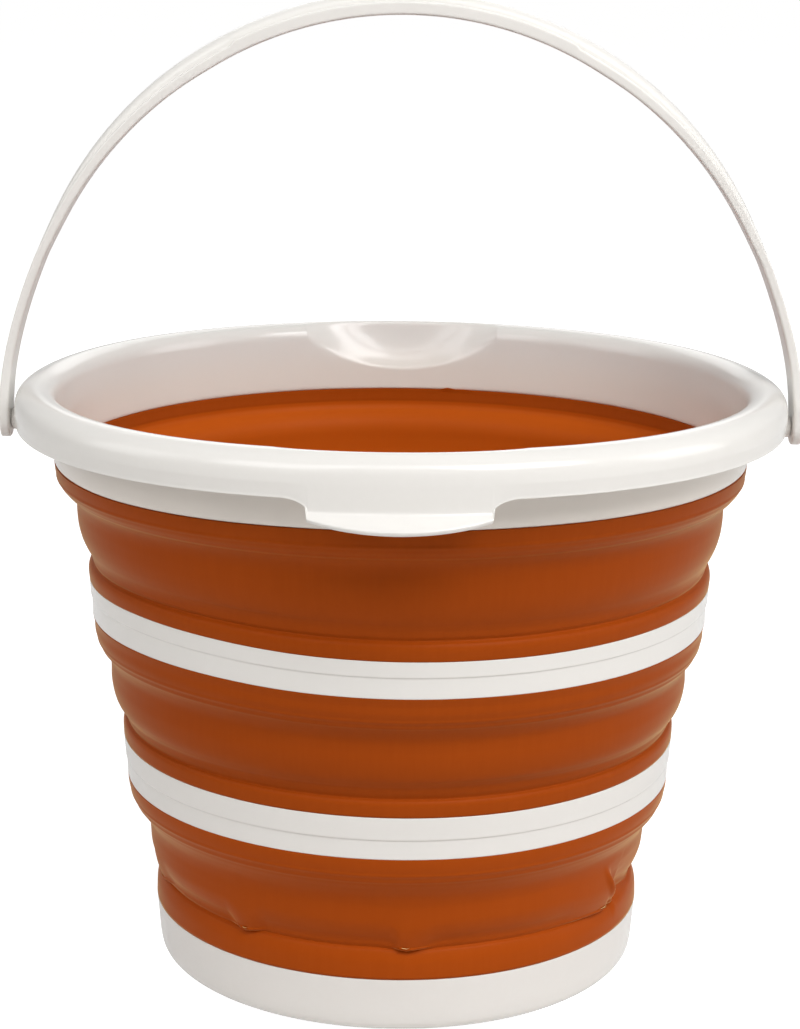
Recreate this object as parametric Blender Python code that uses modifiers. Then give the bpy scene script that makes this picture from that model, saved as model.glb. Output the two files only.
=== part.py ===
"""Collapsible camp bucket: a rigid base, two rigid rings and a rigid rim, joined by three
soft membranes that fold, with a swinging bow handle.

Metres, +Z up, origin at the middle of the foot. The bow stands in the XZ plane, and the
grip tabs and pour scoops of the rim lie on the Y axis.
"""
import math

import bmesh
import bpy
import numpy as np
from mathutils import Matrix

# Turned pieces and seams
facet_count = 36
merge_distance = 0.00005
sharp_angle = math.radians(34)
wall = 0.0032
membrane_wall = 0.0016
seam_gap = 0.0003
tongue_thickness = 0.0012
tongue_depth = 0.0030
tongue_clearance = 0.0003
mitre_limit_share = 0.6

# Heights of the bands, from the floor up
base_height = 0.0233
lower_membrane_height = 0.0552
lower_ring_height = 0.0175
middle_membrane_height = 0.0525
upper_ring_height = 0.0152
upper_membrane_height = 0.0523
rim_height = 0.0314

# Outer radius at the first seam, and how much each band above it widens
base_top_radius = 0.1040
lower_membrane_flare = 0.0119
lower_ring_flare = 0.0014
middle_membrane_flare = 0.0122
upper_ring_flare = 0.0011
upper_membrane_flare = 0.0136

# Base cup
base_flare = 0.0075
foot_round_height = 0.0062
foot_round_width = 0.0060
foot_round_steps = 3
foot_width = 0.0080
foot_recess = 0.0022
foot_draft = 0.0011
floor_thickness = 0.0026
floor_fillet = 0.0060
floor_fillet_steps = 2

# Rings
ring_step = 0.0004
ring_step_height = 0.0005
lower_ring_step_share = 0.47
upper_ring_step_share = 0.58

# Membranes: a shoulder that drops inward to the fold, a barrel, and a lip above the hinge
upper_fold_inset = 0.0090
middle_fold_inset = 0.0074
lower_fold_inset = 0.0092
hinge_inset = 0.0018
bead_height = 0.0062
bead_foot_share = 0.5
upper_fold_share = 0.28
upper_hinge_share = 0.83
middle_fold_share = 0.34
middle_hinge_share = 0.81
lower_fold_share = 0.34
lower_hinge_share = 0.77
shoulder_height_shares = (0.0, 0.34, 0.58, 0.86)
shoulder_inset_shares = (0.0, 0.05, 0.26, 0.88)
barrel_height_shares = (0.0, 0.34, 0.64, 0.92)
barrel_inset_shares = (0.0, 0.06, 0.34, 0.92)
lip_height_shares = (0.0, 0.40, 1.0)
lip_inset_shares = (1.0, 0.25, 0.0)

# Rim
crown_flare = 0.0060
skirt_flare = 0.0098
skirt_draft = 0.0006
skirt_height = 0.0176
skirt_edge_height = 0.0012
shell_wall = 0.0022
rim_wall_lean = 0.0020
crown_fall = 0.0084
crown_drop = 0.0092
crown_bend_share = 0.15
crown_steps = 3

# Grip tabs, at front and back
tab_half_width = 0.0334
tab_depth = 0.0050
tab_fillet_width = 0.0110
lip_reach = 0.0076
lip_drop = 0.0040
lip_thickness = 0.0025
lip_end_reach_share = 0.33
lip_end_drop_share = 0.30
lip_bend_reach_share = 0.20
lip_bend_drop_share = 0.38
tab_station_shares = (0.42, 1.0)
fillet_station_shares = (0.04, 0.35, 1.0)

# Pour scoops, at front and back
scoop_half_angle = math.radians(18)
scoop_depth = 0.0130
scoop_push = 0.0026
scoop_bend_share = 0.72
scoop_edge_shares = (0.87, 0.97, 1.0)

# Handle sockets, at the sides
ear_half_width = 0.0062
ear_fillet_width = 0.0052
ear_depth = 0.0062
ear_station_share = 0.55
ear_fillet_shares = (0.0, 0.5, 1.0)
pivot_drop = 0.0008
boss_radius = 0.0046
boss_height = 0.0032
peg_radius = 0.0027
peg_clearance = 0.0003
socket_overrun = 0.0044
peg_head_radius = 0.0038
peg_head_length = 0.0018
peg_sides = 12

# Handle, its heights taken from the pivot or from the top of the bow
bow_centre_rise = 0.0180
bow_arc_inset = 0.0029
bow_arc_angle = math.radians(64)
handle_gap = 0.0036
leg_end_rise = 0.0028
paddle_rise = 0.0108
strip_width = 0.0180
paddle_half_width = 0.0084
strip_thickness = 0.0042
leg_thickness = 0.0039
edge_round = 0.0006
inner_edge_round = 0.0010
rib_width = 0.0120
rib_height = 0.0048
rib_end_height = 0.0003
rib_taper_start = 0.0240
rib_taper_end = 0.1060
rib_width_shares = (0.0, 0.52, 0.88, 1.0)
rib_fall_shares = (0.0, 0.15, 0.58, 1.0)
grip_rise = 0.0011
grip_angle = math.radians(26)
grip_notch_angle = math.radians(1)
grip_steps = 4
shoulder_steps = 6
leg_steps = 5
paddle_angle = math.radians(72)
paddle_steps = 4

# Radii that follow
foot_radius = base_top_radius - base_flare
lower_ring_bottom_radius = base_top_radius + lower_membrane_flare
lower_ring_top_radius = lower_ring_bottom_radius + lower_ring_flare
upper_ring_bottom_radius = lower_ring_top_radius + middle_membrane_flare
upper_ring_top_radius = upper_ring_bottom_radius + upper_ring_flare
rim_seam_radius = upper_ring_top_radius + upper_membrane_flare
crown_radius = rim_seam_radius + crown_flare
skirt_radius = crown_radius + skirt_flare
skirt_bottom_radius = skirt_radius - skirt_draft
skirt_inner_radius = skirt_bottom_radius - shell_wall
bow_arc_radius = skirt_bottom_radius - bow_arc_inset

# Heights and spans that follow
lower_membrane_bottom = base_height
lower_ring_bottom = lower_membrane_bottom + lower_membrane_height
middle_membrane_bottom = lower_ring_bottom + lower_ring_height
upper_ring_bottom = middle_membrane_bottom + middle_membrane_height
upper_membrane_bottom = upper_ring_bottom + upper_ring_height
rim_bottom = upper_membrane_bottom + upper_membrane_height
crown_height = rim_bottom + rim_height
skirt_bottom = crown_height - skirt_height
pivot_height = skirt_bottom - pivot_drop
bow_top = pivot_height + bow_centre_rise + bow_arc_radius
leg_middle = skirt_bottom_radius + handle_gap + leg_thickness / 2


def clear_scene():
    for item in list(bpy.data.objects):
        bpy.data.objects.remove(item, do_unlink=True)


def new_collection(name):
    group = bpy.data.collections.new(name)
    bpy.context.scene.collection.children.link(group)
    return group


def material(name, colour, roughness):
    made = bpy.data.materials.new(name)
    made.use_nodes = True
    shader = made.node_tree.nodes["Principled BSDF"]
    shader.inputs["Base Color"].default_value = (*colour, 1.0)
    shader.inputs["Roughness"].default_value = roughness
    shader.inputs["Metallic"].default_value = 0.0
    return made


def white_plastic(name):
    return material(name, (0.73, 0.71, 0.67), 0.32)


def orange_rubber(name):
    return material(name, (0.36, 0.065, 0.008), 0.5)


def bend(start, corner, end, steps):
    """Points of a smooth bend from start to end, pulled toward a corner."""
    line = []
    for step in range(steps + 1):
        along = step / steps
        back = 1 - along
        line.append(tuple(back * back * a + 2 * back * along * b + along * along * c
                          for a, b, c in zip(start, corner, end)))
    return line


def inward(line, thicknesses):
    """A line, moved to its right by a thickness at each point, with mitred corners."""
    points = np.array(line)
    steps = np.diff(points, axis=0)
    steps /= np.linalg.norm(steps, axis=1)[:, None]
    normals = np.stack([steps[:, 1], -steps[:, 0]], axis=1)
    moved = []
    for i, (point, thickness) in enumerate(zip(points, thicknesses)):
        before = normals[max(i - 1, 0)]
        after = normals[min(i, len(normals) - 1)]
        middle = before + after
        middle /= np.linalg.norm(middle)
        moved.append(tuple(point + middle * thickness / max(middle @ after, mitre_limit_share)))
    return moved


def turned(name, profile, closed, group, finish):
    """A profile of (radius, height) points in the XZ plane, turned about Z."""
    points = [(radius, 0.0, height) for radius, height in profile]
    edges = [(i, i + 1) for i in range(len(points) - 1)]
    if closed:
        edges.append((len(points) - 1, 0))
    mesh = bpy.data.meshes.new(name)
    mesh.from_pydata(points, edges, [])
    mesh.materials.append(finish)
    made = bpy.data.objects.new(name, mesh)
    group.objects.link(made)
    screw = made.modifiers.new("turn", "SCREW")
    screw.axis = "Z"
    screw.angle = math.tau
    screw.steps = facet_count
    screw.render_steps = facet_count
    screw.use_merge_vertices = True
    screw.merge_threshold = merge_distance
    screw.use_smooth_shade = True
    return made


def tongue(seam_radius, seam_height, direction):
    """The tongue of a rigid piece at a seam: four points, from the outer side inward."""
    middle = seam_radius - wall / 2
    outer = middle + tongue_thickness / 2
    inner = middle - tongue_thickness / 2
    tip = seam_height + direction * tongue_depth
    return [(outer, seam_height), (outer, tip), (inner, tip), (inner, seam_height)]


def groove(seam_radius, edge_height, seam_height, direction):
    """The groove of a membrane round that tongue: four points, from the outer side inward."""
    middle = seam_radius - wall / 2
    outer = middle + tongue_thickness / 2 + tongue_clearance
    inner = middle - tongue_thickness / 2 - tongue_clearance
    bottom = seam_height + direction * (tongue_depth + tongue_clearance)
    return [(outer, edge_height), (outer, bottom), (inner, bottom), (inner, edge_height)]


def base_cup(group):
    """Flat foot ring, recessed floor, conical side and a tongue for the lower membrane."""
    side_radius = foot_radius + foot_round_width
    foot_inner = foot_radius - foot_width
    floor_top = foot_recess + floor_thickness
    side_inner = side_radius - wall
    profile = [(base_top_radius, base_height)]
    profile += bend((side_radius, foot_round_height), (side_radius, 0.0), (foot_radius, 0.0),
                    foot_round_steps)
    profile += [(foot_inner, 0.0), (foot_inner - foot_draft, foot_recess), (0.0, foot_recess),
                (0.0, floor_top)]
    profile += bend((side_inner - floor_fillet, floor_top), (side_inner, floor_top),
                    (side_inner, floor_top + floor_fillet), floor_fillet_steps)
    profile.append((base_top_radius - wall, base_height))
    profile += reversed(tongue(base_top_radius, base_height, 1))
    profile.append(profile[0])
    turned("base_cup", profile, False, group, white_plastic("base_cup_white"))


def ring(name, bottom, height, bottom_radius, top_radius, step_share, group):
    """A rigid band whose upper part stands slightly proud, with a tongue at each seam."""
    top = bottom + height
    step_top = bottom + height * step_share
    radius_at_step = bottom_radius + (top_radius - bottom_radius) * step_share
    profile = [
        (top_radius, top),
        (radius_at_step, step_top),
        (radius_at_step - ring_step, step_top - ring_step_height),
        (bottom_radius, bottom),
    ]
    profile += tongue(bottom_radius, bottom, -1)
    profile += [(bottom_radius - wall, bottom), (top_radius - wall, top)]
    profile += reversed(tongue(top_radius, top, 1))
    turned(name, profile, True, group, white_plastic(name + "_white"))


def membrane_outline(bottom, height, bottom_radius, top_radius, fold_inset, fold_share,
                     hinge_share):
    """The outer side of a membrane, top to bottom, between its two seams."""
    top = bottom + height - seam_gap
    span = height - 2 * seam_gap
    fold_radius = top_radius - fold_inset
    hinge_radius = bottom_radius - hinge_inset
    barrel_share = hinge_share - fold_share
    line = []
    for down, inset in zip(shoulder_height_shares, shoulder_inset_shares):
        line.append((top_radius - fold_inset * inset, top - span * fold_share * down))
    for down, inset in zip(barrel_height_shares, barrel_inset_shares):
        line.append((fold_radius - (fold_radius - hinge_radius) * inset,
                     top - span * (fold_share + barrel_share * down)))
    for down, inset in zip(lip_height_shares, lip_inset_shares):
        line.append((bottom_radius - hinge_inset * inset,
                     top - span * (hinge_share + (1 - hinge_share) * down)))
    return line


def membrane(name, bottom, height, bottom_radius, top_radius, fold_inset, fold_share,
             hinge_share, group):
    """A thin folding wall with a thick grooved bead at each seam."""
    top = bottom + height
    top_edge = top - seam_gap
    bottom_edge = bottom + seam_gap
    bead_top = top_edge - bead_height
    bead_bottom = bottom_edge + bead_height
    outer = membrane_outline(bottom, height, bottom_radius, top_radius, fold_inset, fold_share,
                             hinge_share)
    thin = inward(outer, [membrane_wall] * len(outer))
    inner = [point for point in thin if bead_bottom < point[1] < bead_top]
    profile = outer + groove(bottom_radius, bottom_edge, bottom, 1)
    profile += [(bottom_radius - wall, bottom_edge),
                (bottom_radius - wall, bottom_edge + bead_height * bead_foot_share)]
    profile += reversed(inner)
    profile += [(top_radius - wall, bead_top), (top_radius - wall, top_edge)]
    profile += reversed(groove(top_radius, top_edge, top, -1))
    turned(name, profile, True, group, orange_rubber(name + "_orange"))


def on_facet(radius, angle):
    """Radius of the turned pieces' flat facet at this angle, for points that meet them."""
    step = math.tau / facet_count
    off_middle = (angle % step) - step / 2
    return radius * math.cos(step / 2) / math.cos(off_middle)


def tab_hang(distance):
    """Share of the tab's depth at a distance from its middle, with a concave fillet."""
    if distance <= tab_half_width:
        return 1.0
    share = (tab_half_width + tab_fillet_width - distance) / tab_fillet_width
    if share <= 0.0:
        return 0.0
    return 1 - math.sqrt(1 - share * share)


def ear_hang(distance):
    """Share of the ear's depth at a distance from its middle, with soft shoulders."""
    share = min(max((distance - ear_half_width) / ear_fillet_width, 0.0), 1.0)
    return (1 + math.cos(math.pi * share)) / 2


def lip_shares(distance):
    """Shares of the lip's reach and drop: most in the middle of the tab, none beside it."""
    if distance > tab_half_width + merge_distance:
        return 0.0, 0.0
    out = (distance / tab_half_width) ** 2
    return 1 - (1 - lip_end_reach_share) * out, 1 - (1 - lip_end_drop_share) * out


def rim_inside(angle):
    """Inside of the rim, from the seam up to the crown, with the pour scoop."""
    away = abs(math.pi / 2 - angle) / scoop_half_angle
    scoop = math.sqrt(max(1 - away * away, 0.0))
    seam_inner = rim_seam_radius - wall
    plain_turn = crown_height - crown_fall
    turn_height = plain_turn - scoop_depth * scoop
    lean = rim_wall_lean * (turn_height - rim_bottom) / (plain_turn - rim_bottom)
    turn = (seam_inner + lean, turn_height)
    crest = (crown_radius + scoop_push * scoop, crown_height)
    low = crown_bend_share + (scoop_bend_share - crown_bend_share) * scoop
    knee = (turn[0] + (crest[0] - turn[0]) * scoop_bend_share * scoop,
            crest[1] - (crest[1] - turn[1]) * low)
    return [(on_facet(seam_inner, angle), rim_bottom)] + bend(turn, knee, crest, crown_steps)


def rim_section(angle):
    """One section of the rim: a sheet from the seam over the crown to the skirt or the lip."""
    from_tab = abs(math.pi / 2 - angle) * skirt_bottom_radius
    from_ear = angle * skirt_bottom_radius
    bottom = skirt_bottom - tab_depth * tab_hang(from_tab) - ear_depth * ear_hang(from_ear)
    reach_share, drop_share = lip_shares(from_tab)
    reach = lip_reach * reach_share
    drop = lip_drop * drop_share

    sheet = rim_inside(angle)
    wall_points = 2
    sheet += bend(sheet[-1], (skirt_radius, crown_height),
                  (skirt_radius, crown_height - crown_drop), crown_steps)[1:]
    lip_points = 3
    sheet += [
        (skirt_bottom_radius, bottom + skirt_edge_height),
        (skirt_bottom_radius + reach * lip_bend_reach_share,
         bottom + skirt_edge_height / 2 - drop * lip_bend_drop_share),
        (skirt_bottom_radius + reach, bottom - drop),
    ]
    edge_wall = lip_thickness if reach else shell_wall
    shell_points = len(sheet) - wall_points - lip_points
    under = inward(sheet, [wall] * wall_points + [shell_wall] * shell_points
                   + [edge_wall] * lip_points)
    under[0] = (on_facet(rim_seam_radius, angle), rim_bottom)
    seam = [(on_facet(radius, angle), height)
            for radius, height in tongue(rim_seam_radius, rim_bottom, -1)]
    return sheet + under[::-1] + seam


def rim_angles():
    """Angles of the sections from the ear at 0 to the tab at a right angle."""
    right = math.pi / 2
    near_tab = [right - tab_half_width * share / skirt_bottom_radius
                for share in tab_station_shares]
    near_tab += [right - (tab_half_width + tab_fillet_width * share) / skirt_bottom_radius
                 for share in fillet_station_shares]
    near_tab += [right - scoop_half_angle * share for share in scoop_edge_shares]
    near_ear = [ear_half_width * ear_station_share / skirt_bottom_radius]
    near_ear += [(ear_half_width + ear_fillet_width * share) / skirt_bottom_radius
                 for share in ear_fillet_shares]
    facets = [math.tau * i / facet_count for i in range(facet_count // 4 + 1)]
    return sorted(near_tab + near_ear + facets)


def loft(name, sections, closed, group, finish):
    """Faces between neighbouring sections that have the same number of points."""
    count = len(sections[0])
    across = count if closed else count - 1
    points = [point for section in sections for point in section]
    faces = []
    for row in range(len(sections) - 1):
        for i in range(across):
            a = row * count + i
            b = row * count + (i + 1) % count
            faces.append((a, b, b + count, a + count))
    mesh = bpy.data.meshes.new(name)
    mesh.from_pydata(points, [], faces)
    mesh.materials.append(finish)
    mesh.shade_smooth()
    mesh.set_sharp_from_angle(angle=sharp_angle)
    made = bpy.data.objects.new(name, mesh)
    group.objects.link(made)
    return made


def mirrored(made):
    """Complete a quarter of a piece across both upright planes."""
    mirror = made.modifiers.new("mirror", "MIRROR")
    mirror.use_axis = (True, True, False)
    mirror.use_clip = False
    mirror.merge_threshold = merge_distance


def boolean(made, tool, operation):
    cut = made.modifiers.new(tool.name, "BOOLEAN")
    cut.operation = operation
    cut.solver = "EXACT"
    cut.object = tool


def rod_along_x(name, start, end, radius, group):
    """A round guide bar along X at the pivot's height, from start to end."""
    shape = bmesh.new()
    bmesh.ops.create_cone(shape, cap_ends=True, segments=peg_sides, radius1=radius,
                          radius2=radius, depth=abs(end - start))
    mesh = bpy.data.meshes.new(name)
    shape.to_mesh(mesh)
    shape.free()
    made = bpy.data.objects.new(name, mesh)
    made.rotation_euler = (0.0, math.pi / 2, 0.0)
    made.location = ((start + end) / 2, 0.0, pivot_height)
    made.hide_render = True
    made.display_type = "WIRE"
    group.objects.link(made)
    return made


def top_rim(group, cutters):
    """The rim: funnel wall, rolled crown, skirt, grip tabs, pour scoops and handle sockets."""
    sections = []
    for angle in rim_angles():
        sections.append([(radius * math.cos(angle), radius * math.sin(angle), height)
                         for radius, height in rim_section(angle)])
    made = loft("top_rim", sections, True, group, white_plastic("top_rim_white"))
    mirrored(made)
    near = skirt_inner_radius - socket_overrun
    far = skirt_bottom_radius + socket_overrun
    boss_start = skirt_bottom_radius - shell_wall / 2
    boss_end = skirt_bottom_radius + boss_height
    for side, direction in (("left", -1), ("right", 1)):
        boss = rod_along_x("boss_" + side, direction * boss_start, direction * boss_end,
                           boss_radius, cutters)
        boolean(made, boss, "UNION")
        hole = rod_along_x("socket_" + side, direction * near, direction * far,
                           peg_radius + peg_clearance, cutters)
        boolean(made, hole, "DIFFERENCE")


def bow_angles():
    """Angles from the top of the bow to the end of its arc, with the notch of the grip."""
    notch_start = grip_angle - grip_notch_angle
    notch_end = grip_angle + grip_notch_angle
    angles = [notch_start * i / grip_steps for i in range(grip_steps + 1)]
    angles += [notch_end + (bow_arc_angle - notch_end) * i / shoulder_steps
               for i in range(shoulder_steps + 1)]
    return angles


def bow_path():
    """Stations of half the bow: centre point, direction outward and angle from the top."""
    centre = bow_top - bow_arc_radius
    stations = []
    for angle in bow_angles():
        outward = (math.sin(angle), math.cos(angle))
        stations.append((bow_arc_radius * outward[0], centre + bow_arc_radius * outward[1],
                         outward, angle))
    start = stations[-1][:2]
    knee = (leg_middle, start[1] - (leg_middle - start[0]) * math.tan(bow_arc_angle))
    end = (leg_middle, pivot_height + leg_end_rise)
    leg = bend(start, knee, end, leg_steps)
    for i in range(1, len(leg)):
        after = leg[min(i + 1, leg_steps)]
        dx = after[0] - leg[i - 1][0]
        dz = after[1] - leg[i - 1][1]
        length = math.hypot(dx, dz)
        stations.append((*leg[i], (-dz / length, dx / length), bow_arc_angle))
    return stations


def ease(value, low, high):
    share = min(max((value - low) / (high - low), 0.0), 1.0)
    return share * share * (3 - 2 * share)


def strip_section(half_width, thickness, height, outer):
    """Half of the handle's section: (across, outward) points from the outer middle inward."""
    rib_half = min(rib_width / 2, half_width - 2 * edge_round)
    ledge = outer - height
    inner = ledge - thickness
    section = [(rib_half * across, outer - height * fall)
               for across, fall in zip(rib_width_shares, rib_fall_shares)]
    section += [
        (half_width - edge_round, ledge),
        (half_width, ledge - edge_round),
        (half_width, inner + inner_edge_round),
        (half_width - inner_edge_round, inner),
        (0.0, inner),
    ]
    return section


def bow_sections():
    """Sections of the bow, from the top down to where the paddle begins to round."""
    sections = []
    for x, z, outward, angle in bow_path():
        grip = 1 - ease(angle, grip_angle - grip_notch_angle, grip_angle + grip_notch_angle)
        past_start = (bow_top - z - rib_taper_start) / (rib_taper_end - rib_taper_start)
        leg = min(max(past_start, 0.0), 1.0)
        plain_thickness = strip_thickness + (leg_thickness - strip_thickness) * leg
        height = rib_height + (rib_end_height - rib_height) * leg - grip_rise * grip
        outer = plain_thickness / 2 + rib_end_height * leg
        narrow = ease(pivot_height + paddle_rise - z, 0.0, paddle_rise - leg_end_rise)
        half_width = strip_width / 2 + (paddle_half_width - strip_width / 2) * narrow
        section = strip_section(half_width, plain_thickness + grip_rise * grip, height, outer)
        sections.append([(x + outward[0] * out, across, z + outward[1] * out)
                         for across, out in section])
    return sections


def paddle_sections():
    """Sections round the end of the leg, below the pivot."""
    sections = []
    for step in range(1, paddle_steps + 1):
        angle = paddle_angle * step / paddle_steps
        narrow = math.cos(angle)
        z = pivot_height - paddle_half_width * math.sin(angle)
        section = strip_section(paddle_half_width * narrow, leg_thickness, rib_end_height,
                                leg_thickness / 2 + rib_end_height)
        sections.append([(leg_middle + out, across, z) for across, out in section])
    return sections


def close_end(made, count):
    """Close the last section, whose half outline runs from its outer to its inner middle."""
    shape = bmesh.new()
    shape.from_mesh(made.data)
    shape.verts.ensure_lookup_table()
    shape.faces.new(shape.verts[-count:])
    shape.to_mesh(made.data)
    shape.free()


def handle(group, cutters):
    """The bow: a flat strip with a domed rib outside, a thicker grip, paddles and snap pegs."""
    sections = bow_sections() + paddle_sections()
    made = loft("handle", sections, False, group, white_plastic("handle_white"))
    close_end(made, len(sections[0]))
    mirrored(made)
    head_start = skirt_inner_radius - peg_clearance - peg_head_length
    head_end = head_start + peg_head_length
    peg_start = head_start + peg_head_length / 2
    for side, direction in (("left", -1), ("right", 1)):
        peg = rod_along_x("peg_" + side, direction * peg_start, direction * leg_middle,
                          peg_radius, cutters)
        boolean(made, peg, "UNION")
        head = rod_along_x("peg_head_" + side, direction * head_start, direction * head_end,
                           peg_head_radius, cutters)
        boolean(made, head, "UNION")
    return made


def hinge_at_pivot(made):
    """Move the handle's origin on to its pivot line without moving its shape."""
    made.data.transform(Matrix.Translation((0.0, 0.0, -pivot_height)))
    made.location = (0.0, 0.0, pivot_height)


def build():
    clear_scene()
    parts = new_collection("collapsible_bucket")
    cutters = new_collection("cutters")
    base_cup(parts)
    membrane("lower_membrane", lower_membrane_bottom, lower_membrane_height, base_top_radius,
             lower_ring_bottom_radius, lower_fold_inset, lower_fold_share, lower_hinge_share,
             parts)
    ring("lower_ring", lower_ring_bottom, lower_ring_height, lower_ring_bottom_radius,
         lower_ring_top_radius, lower_ring_step_share, parts)
    membrane("middle_membrane", middle_membrane_bottom, middle_membrane_height,
             lower_ring_top_radius, upper_ring_bottom_radius, middle_fold_inset,
             middle_fold_share, middle_hinge_share, parts)
    ring("upper_ring", upper_ring_bottom, upper_ring_height, upper_ring_bottom_radius,
         upper_ring_top_radius, upper_ring_step_share, parts)
    membrane("upper_membrane", upper_membrane_bottom, upper_membrane_height,
             upper_ring_top_radius, rim_seam_radius, upper_fold_inset, upper_fold_share,
             upper_hinge_share, parts)
    top_rim(parts, cutters)
    hinge_at_pivot(handle(parts, cutters))


build()
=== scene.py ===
"""Looks of the collapsible camp bucket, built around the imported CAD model.

The cup, the bands, the folding walls, the rim and the handle are made here again with full
roundness, from the same sizes as the CAD source. Lengths are in metres in the row frame: +Z is
up, +X points to one handle socket, and the camera stands on the -Y side.
"""
import math

import bmesh
import bpy
import numpy as np
from mathutils import Matrix, Vector


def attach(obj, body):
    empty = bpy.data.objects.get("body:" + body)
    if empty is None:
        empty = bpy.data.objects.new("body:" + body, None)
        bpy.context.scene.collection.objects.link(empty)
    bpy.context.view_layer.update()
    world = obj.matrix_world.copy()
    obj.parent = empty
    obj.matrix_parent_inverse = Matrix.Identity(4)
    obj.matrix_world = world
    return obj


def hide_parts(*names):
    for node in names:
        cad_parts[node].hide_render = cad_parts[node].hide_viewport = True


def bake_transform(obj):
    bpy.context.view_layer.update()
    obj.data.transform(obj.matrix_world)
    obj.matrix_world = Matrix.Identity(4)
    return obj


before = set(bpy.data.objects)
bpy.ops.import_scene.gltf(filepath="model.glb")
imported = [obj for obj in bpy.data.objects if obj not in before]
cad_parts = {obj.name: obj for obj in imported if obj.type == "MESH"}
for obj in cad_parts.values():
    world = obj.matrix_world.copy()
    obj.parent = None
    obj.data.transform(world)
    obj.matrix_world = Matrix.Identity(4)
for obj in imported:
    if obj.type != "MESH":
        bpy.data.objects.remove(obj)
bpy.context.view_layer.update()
MM = 0.001

# Heights of the seams, of the handle's pivot and of the rim's top, from the ground up
BASE_TOP = 0.0233
LOWER_RING = (0.0785, 0.0960)
UPPER_RING = (0.1485, 0.1637)
RIM_BOTTOM = 0.2160
PIVOT = 0.2290
CROWN = 0.2474

# Thickness of the walls: at the seams, and where a soft wall folds
WALL = 0.0032
THIN_WALL = 0.0016


# Mesh helpers

def spline(points, counts):
    """A Catmull-Rom curve through points, with a given number of steps in each stretch."""
    pts = np.array(points, float)
    padded = np.vstack([2 * pts[0] - pts[1], pts, 2 * pts[-1] - pts[-2]])
    line = []
    for i, count in enumerate(counts):
        a, b, c, d = padded[i:i + 4]
        for k in range(count):
            t = k / count
            line.append(0.5 * (2 * b + (c - a) * t + (2 * a - 5 * b + 4 * c - d) * t * t
                               + (3 * b - a - 3 * c + d) * t ** 3))
    line.append(pts[-1])
    return np.array(line)


def counts_for(points, step):
    """For each stretch between points, the number of steps that come nearest to one length."""
    gaps = np.linalg.norm(np.diff(np.array(points, float), axis=0), axis=1)
    return [max(1, int(round(gap / step))) for gap in gaps]


def straight(start, end, count, last=False):
    """Points from start towards end, with the end itself only where last is set."""
    a, b = np.array(start, float), np.array(end, float)
    return np.array([a + (b - a) * k / count for k in range(count + (1 if last else 0))])


def bend(start, corner, end, count, last=False):
    """Points of a smooth bend from start to end, pulled toward a corner."""
    a, b, c = (np.array(p, float) for p in (start, corner, end))
    t = np.linspace(0.0, 1.0, count + 1)[:, None]
    line = (1 - t) ** 2 * a + 2 * (1 - t) * t * b + t * t * c
    return line if last else line[:-1]


def directions(line):
    """The unit direction of a line at each of its points."""
    ahead = np.gradient(line, axis=0)
    return ahead / np.linalg.norm(ahead, axis=1)[:, None]


def offset(line, thickness):
    """A line moved to its right-hand side by a thickness (one value or one at each point)."""
    ahead = directions(line)
    right = np.stack([ahead[:, 1], -ahead[:, 0]], axis=1)
    return line + right * np.reshape(thickness, (-1, 1))


def eased(outline, passes):
    """An outline with its corners rounded by repeated averaging, its two ends as neighbours."""
    for _ in range(passes):
        before, after = np.roll(outline, 1, axis=0), np.roll(outline, -1, axis=0)
        outline = 0.25 * before + 0.5 * outline + 0.25 * after
    return outline


def ease(value, low, high):
    """0 up to low, 1 from high on, and a smooth rise between them."""
    share = np.clip((value - low) / (high - low), 0.0, 1.0)
    return share * share * (3 - 2 * share)


def grid_piece(name, grid, material, capped=False):
    """A mesh from rows of closed outlines. The last row joins the first, or, where the piece
    is capped, both are filled."""
    rows, columns = grid.shape[:2]
    starts = np.arange(rows - 1 if capped else rows)[:, None] * columns
    here = starts + np.arange(columns)[None, :]
    beside = starts + (np.arange(columns)[None, :] + 1) % columns
    corners = [here, beside] + [(row + columns) % (rows * columns) for row in (beside, here)]
    faces = np.stack(corners, axis=-1).reshape(-1, 4).tolist()
    if capped:
        faces.append(list(range(columns)))
        faces.append(list(range((rows - 1) * columns, rows * columns)))
    mesh = bpy.data.meshes.new(name)
    mesh.from_pydata(grid.reshape(-1, 3).tolist(), [], faces)
    shape = bmesh.new()
    shape.from_mesh(mesh)
    bmesh.ops.recalc_face_normals(shape, faces=shape.faces[:])
    shape.to_mesh(mesh)
    shape.free()
    mesh.shade_smooth()
    mesh.materials.append(material)
    return placed(name, mesh)


def placed(name, data):
    """A new object in the scene for a mesh, a light or a camera."""
    made = bpy.data.objects.new(name, data)
    bpy.context.scene.collection.objects.link(made)
    return made


def mark(piece, name, values):
    """Store a value at each point of a piece for its material."""
    marks = piece.data.attributes.new(name, "FLOAT", "POINT")
    marks.data.foreach_set("value", np.ravel(values))


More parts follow.
